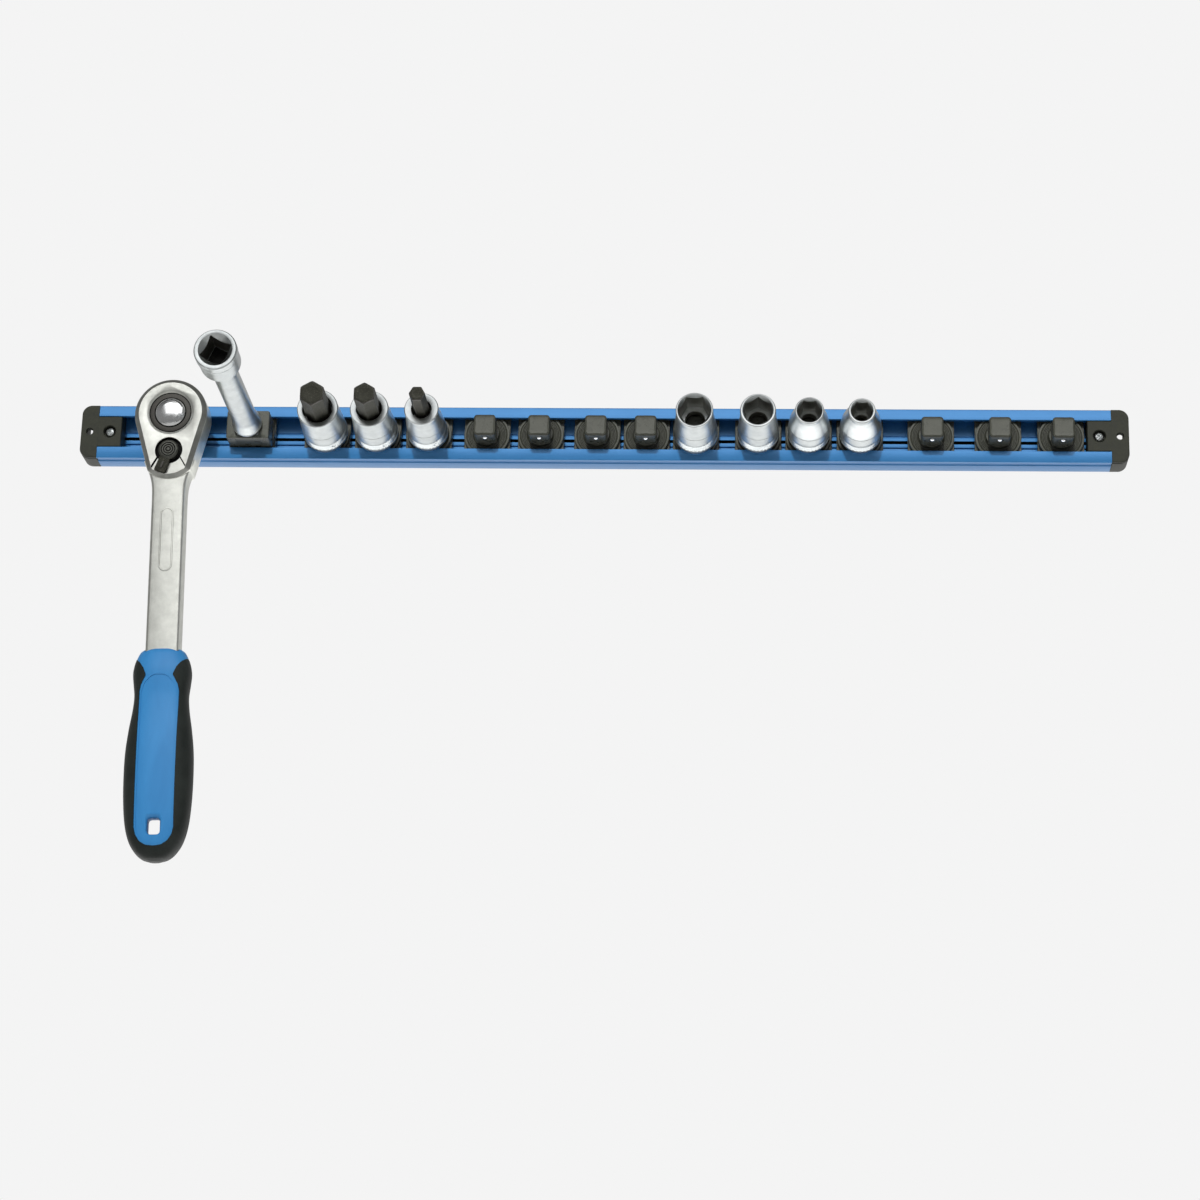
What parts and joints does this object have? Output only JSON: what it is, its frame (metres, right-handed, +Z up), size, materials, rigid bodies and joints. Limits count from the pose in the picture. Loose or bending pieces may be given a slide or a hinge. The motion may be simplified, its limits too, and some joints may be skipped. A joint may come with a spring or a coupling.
{
  "type": "socket rail with ratchet wrench",
  "caption": "Wall rail whose sliding clips carry hex sockets, hex-bit sockets, an extension bar and a reversible ratchet wrench that hangs by its drive square.",
  "frame": {"origin": "middle of the rail's flat back face, where it lies on the wall", "axes": "+X along the rail to the right as seen from the front, +Y into the wall, +Z up with the ratchet hanging down"},
  "size_m": [0.6, 0.1368, 0.2798],
  "materials": {
    "blue_aluminium": "matt blue anodised aluminium",
    "black_plastic": "fine-textured black moulding",
    "clip_plastic": "black glass-filled plastic, slightly glossy",
    "zinc_screw": "bright zinc plated",
    "ball_steel": "polished steel ball",
    "bright_chrome": "polished chrome",
    "satin_chrome": "satin chrome over turned steel",
    "satin_forging": "satin chrome over a bead-blasted forging",
    "black_oxide": "black oxide",
    "lever_steel": "blackened steel",
    "grey_steel": "dark phosphated steel",
    "blue_plastic": "hard blue handle core, silky",
    "black_elastomer": "soft black overmould"
  },
  "bodies": {
    "rail": {"rail": "blue_aluminium", "rail_lip_upper": "blue_aluminium", "rail_lip_lower": "blue_aluminium", "end_cap_left": "black_plastic", "end_cap_right": "black_plastic", "cap_screw_left": "zinc_screw", "cap_screw_right": "zinc_screw"},
    "clip_01": {"clip_01": "clip_plastic"},
    "clip_02": {"clip_02": "clip_plastic"},
    "clip_03": {"clip_03": "clip_plastic"},
    "clip_04": {"clip_04": "clip_plastic"},
    "clip_05": {"clip_05": "clip_plastic"},
    "clip_06": {"clip_06": "clip_plastic"},
    "clip_07": {"clip_07": "clip_plastic"},
    "clip_08": {"clip_08": "clip_plastic"},
    "clip_09": {"clip_09": "clip_plastic"},
    "clip_10": {"clip_10": "clip_plastic"},
    "clip_11": {"clip_11": "clip_plastic"},
    "clip_12": {"clip_12": "clip_plastic"},
    "clip_13": {"clip_13": "clip_plastic"},
    "clip_14": {"clip_14": "clip_plastic"},
    "clip_15": {"clip_15": "clip_plastic"},
    "clip_16": {"clip_16": "clip_plastic"},
    "post_ball_03": {"post_ball_03": "ball_steel"},
    "post_ball_04": {"post_ball_04": "ball_steel"},
    "post_ball_05": {"post_ball_05": "ball_steel"},
    "post_ball_06": {"post_ball_06": "ball_steel"},
    "post_ball_07": {"post_ball_07": "ball_steel"},
    "post_ball_08": {"post_ball_08": "ball_steel"},
    "post_ball_09": {"post_ball_09": "ball_steel"},
    "post_ball_10": {"post_ball_10": "ball_steel"},
    "post_ball_11": {"post_ball_11": "ball_steel"},
    "post_ball_12": {"post_ball_12": "ball_steel"},
    "post_ball_13": {"post_ball_13": "ball_steel"},
    "post_ball_14": {"post_ball_14": "ball_steel"},
    "post_ball_15": {"post_ball_15": "ball_steel"},
    "post_ball_16": {"post_ball_16": "ball_steel"},
    "bit_socket_03": {"bit_socket_03": "satin_chrome", "hex_bit_03": "black_oxide"},
    "bit_socket_04": {"bit_socket_04": "satin_chrome", "hex_bit_04": "black_oxide"},
    "bit_socket_05": {"bit_socket_05": "satin_chrome", "hex_bit_05": "black_oxide"},
    "socket_10": {"socket_10": "satin_chrome"},
    "socket_11": {"socket_11": "satin_chrome"},
    "socket_12": {"socket_12": "satin_chrome"},
    "socket_13": {"socket_13": "satin_chrome"},
    "extension": {"extension_bar": "satin_chrome"},
    "extension_ball": {"extension_ball": "ball_steel"},
    "ratchet_drive": {"drive_gear": "grey_steel"},
    "ratchet": {"ratchet_body": "satin_forging", "ratchet_cover": "grey_steel", "cover_screw_left": "black_oxide", "cover_screw_right": "black_oxide", "handle_core": "blue_plastic", "handle_grip": "black_elastomer"},
    "release_button": {"release_button": "bright_chrome"},
    "drive_ball": {"drive_ball": "ball_steel"},
    "reversing_lever": {"reversing_lever": "lever_steel"},
    "pawl": {"pawl": "lever_steel"}
  },
  "joints": [
    {"name": "clip_01_slide", "type": "slide", "parent": "rail", "child": "clip_01", "axis": [1, 0, 0], "range_m": [-0.008, 0.0071]},
    {"name": "clip_02_slide", "type": "slide", "parent": "rail", "child": "clip_02", "axis": [1, 0, 0], "range_m": [-0.0071, 0.008]},
    {"name": "clip_03_slide", "type": "slide", "parent": "rail", "child": "clip_03", "axis": [1, 0, 0], "range_m": [-0.008, 0.0011]},
    {"name": "clip_04_slide", "type": "slide", "parent": "rail", "child": "clip_04", "axis": [1, 0, 0], "range_m": [-0.0011, 0.0012]},
    {"name": "clip_05_slide", "type": "slide", "parent": "rail", "child": "clip_05", "axis": [1, 0, 0], "range_m": [-0.0012, 0.0033]},
    {"name": "clip_06_slide", "type": "slide", "parent": "rail", "child": "clip_06", "axis": [1, 0, 0], "range_m": [-0.0033, 0.0019]},
    {"name": "clip_07_slide", "type": "slide", "parent": "rail", "child": "clip_07", "axis": [1, 0, 0], "range_m": [-0.0019, 0.0027]},
    {"name": "clip_08_slide", "type": "slide", "parent": "rail", "child": "clip_08", "axis": [1, 0, 0], "range_m": [-0.0027, 0.0006]},
    {"name": "clip_09_slide", "type": "slide", "parent": "rail", "child": "clip_09", "axis": [1, 0, 0], "range_m": [-0.0006, 0.0006]},
    {"name": "clip_10_slide", "type": "slide", "parent": "rail", "child": "clip_10", "axis": [1, 0, 0], "range_m": [-0.0006, 0.0042]},
    {"name": "clip_11_slide", "type": "slide", "parent": "rail", "child": "clip_11", "axis": [1, 0, 0], "range_m": [-0.0042, 0.0008]},
    {"name": "clip_12_slide", "type": "slide", "parent": "rail", "child": "clip_12", "axis": [1, 0, 0], "range_m": [-0.0008, 0.0011]},
    {"name": "clip_13_slide", "type": "slide", "parent": "rail", "child": "clip_13", "axis": [1, 0, 0], "range_m": [-0.0011, 0.0067]},
    {"name": "clip_14_slide", "type": "slide", "parent": "rail", "child": "clip_14", "axis": [1, 0, 0], "range_m": [-0.0067, 0.0055]},
    {"name": "clip_15_slide", "type": "slide", "parent": "rail", "child": "clip_15", "axis": [1, 0, 0], "range_m": [-0.0055, 0.0042]},
    {"name": "clip_16_slide", "type": "slide", "parent": "rail", "child": "clip_16", "axis": [1, 0, 0], "range_m": [-0.0042, 0.0007]},
    {"name": "post_ball_03_press", "type": "slide", "parent": "clip_03", "child": "post_ball_03", "axis": [0, 0, 1], "range_m": [0, 0.0003], "stiffness_N_per_m": 400, "springref_m": -0.0005},
    {"name": "post_ball_04_press", "type": "slide", "parent": "clip_04", "child": "post_ball_04", "axis": [0, 0, 1], "range_m": [0, 0.0003], "stiffness_N_per_m": 400, "springref_m": -0.0005},
    {"name": "post_ball_05_press", "type": "slide", "parent": "clip_05", "child": "post_ball_05", "axis": [0, 0, 1], "range_m": [0, 0.0003], "stiffness_N_per_m": 400, "springref_m": -0.0005},
    {"name": "post_ball_06_press", "type": "slide", "parent": "clip_06", "child": "post_ball_06", "axis": [0, 0, 1], "range_m": [0, 0.0008], "stiffness_N_per_m": 400, "springref_m": -0.0005},
    {"name": "post_ball_07_press", "type": "slide", "parent": "clip_07", "child": "post_ball_07", "axis": [0, 0, 1], "range_m": [0, 0.0008], "stiffness_N_per_m": 400, "springref_m": -0.0005},
    {"name": "post_ball_08_press", "type": "slide", "parent": "clip_08", "child": "post_ball_08", "axis": [0, 0, 1], "range_m": [0, 0.0008], "stiffness_N_per_m": 400, "springref_m": -0.0005},
    {"name": "post_ball_09_press", "type": "slide", "parent": "clip_09", "child": "post_ball_09", "axis": [0, 0, 1], "range_m": [0, 0.0008], "stiffness_N_per_m": 400, "springref_m": -0.0005},
    {"name": "post_ball_10_press", "type": "slide", "parent": "clip_10", "child": "post_ball_10", "axis": [0, 0, 1], "range_m": [0, 0.0003], "stiffness_N_per_m": 400, "springref_m": -0.0005},
    {"name": "post_ball_11_press", "type": "slide", "parent": "clip_11", "child": "post_ball_11", "axis": [0, 0, 1], "range_m": [0, 0.0003], "stiffness_N_per_m": 400, "springref_m": -0.0005},
    {"name": "post_ball_12_press", "type": "slide", "parent": "clip_12", "child": "post_ball_12", "axis": [0, 0, 1], "range_m": [0, 0.0003], "stiffness_N_per_m": 400, "springref_m": -0.0005},
    {"name": "post_ball_13_press", "type": "slide", "parent": "clip_13", "child": "post_ball_13", "axis": [0, 0, 1], "range_m": [0, 0.0003], "stiffness_N_per_m": 400, "springref_m": -0.0005},
    {"name": "post_ball_14_press", "type": "slide", "parent": "clip_14", "child": "post_ball_14", "axis": [0, 0, 1], "range_m": [0, 0.0008], "stiffness_N_per_m": 400, "springref_m": -0.0005},
    {"name": "post_ball_15_press", "type": "slide", "parent": "clip_15", "child": "post_ball_15", "axis": [0, 0, 1], "range_m": [0, 0.0008], "stiffness_N_per_m": 400, "springref_m": -0.0005},
    {"name": "post_ball_16_press", "type": "slide", "parent": "clip_16", "child": "post_ball_16", "axis": [0, 0, 1], "range_m": [0, 0.0008], "stiffness_N_per_m": 400, "springref_m": -0.0005},
    {"name": "bit_socket_03_pull", "type": "slide", "parent": "clip_03", "child": "bit_socket_03", "axis": [0, -1, 0], "range_m": [0, 0.018]},
    {"name": "bit_socket_04_pull", "type": "slide", "parent": "clip_04", "child": "bit_socket_04", "axis": [0, -1, 0], "range_m": [0, 0.018]},
    {"name": "bit_socket_05_pull", "type": "slide", "parent": "clip_05", "child": "bit_socket_05", "axis": [0, -1, 0], "range_m": [0, 0.018]},
    {"name": "socket_10_pull", "type": "slide", "parent": "clip_10", "child": "socket_10", "axis": [0, -1, 0], "range_m": [0, 0.018]},
    {"name": "socket_11_pull", "type": "slide", "parent": "clip_11", "child": "socket_11", "axis": [0, -1, 0], "range_m": [0, 0.018]},
    {"name": "socket_12_pull", "type": "slide", "parent": "clip_12", "child": "socket_12", "axis": [0, -1, 0], "range_m": [0, 0.018]},
    {"name": "socket_13_pull", "type": "slide", "parent": "clip_13", "child": "socket_13", "axis": [0, -1, 0], "range_m": [0, 0.018]},
    {"name": "extension_pull", "type": "slide", "parent": "clip_02", "child": "extension", "axis": [0, -1, 0], "range_m": [0, 0.02]},
    {"name": "extension_ball_press", "type": "slide", "parent": "extension", "child": "extension_ball", "axis": [0, 0, 1], "range_m": [0, 0.0008], "stiffness_N_per_m": 400, "springref_m": -0.0005},
    {"name": "ratchet_pull", "type": "slide", "parent": "clip_01", "child": "ratchet_drive", "axis": [0, -1, 0], "range_m": [0, 0.02]},
    {"name": "ratchet_swing", "type": "hinge", "parent": "ratchet_drive", "child": "ratchet", "pos_m": [-0.2423, -0.0363, 0], "axis": [0, 1, 0], "range_deg": [-48, 180]},
    {"name": "release_button_press", "type": "slide", "parent": "ratchet_drive", "child": "release_button", "axis": [0, 1, 0], "range_m": [0, 0.002], "stiffness_N_per_m": 500, "springref_m": -0.001},
    {"name": "drive_ball_press", "type": "slide", "parent": "ratchet_drive", "child": "drive_ball", "axis": [-0.0314, 0, 0.9995], "range_m": [0, 0.0006]},
    {"name": "reversing_lever_turn", "type": "hinge", "parent": "ratchet", "child": "reversing_lever", "pos_m": [-0.24157, -0.044, -0.02309], "axis": [0, 1, 0], "range_deg": [-40, 0]},
    {"name": "pawl_turn", "type": "hinge", "parent": "ratchet", "child": "pawl", "pos_m": [-0.24157, -0.036, -0.02309], "axis": [0, 1, 0], "range_deg": [-20, 0]}
  ],
  "couplings": [
    {"joint": "drive_ball_press", "follows": "release_button_press", "ratio": 0.25},
    {"joint": "pawl_turn", "follows": "reversing_lever_turn", "ratio": 0.5}
  ]
}
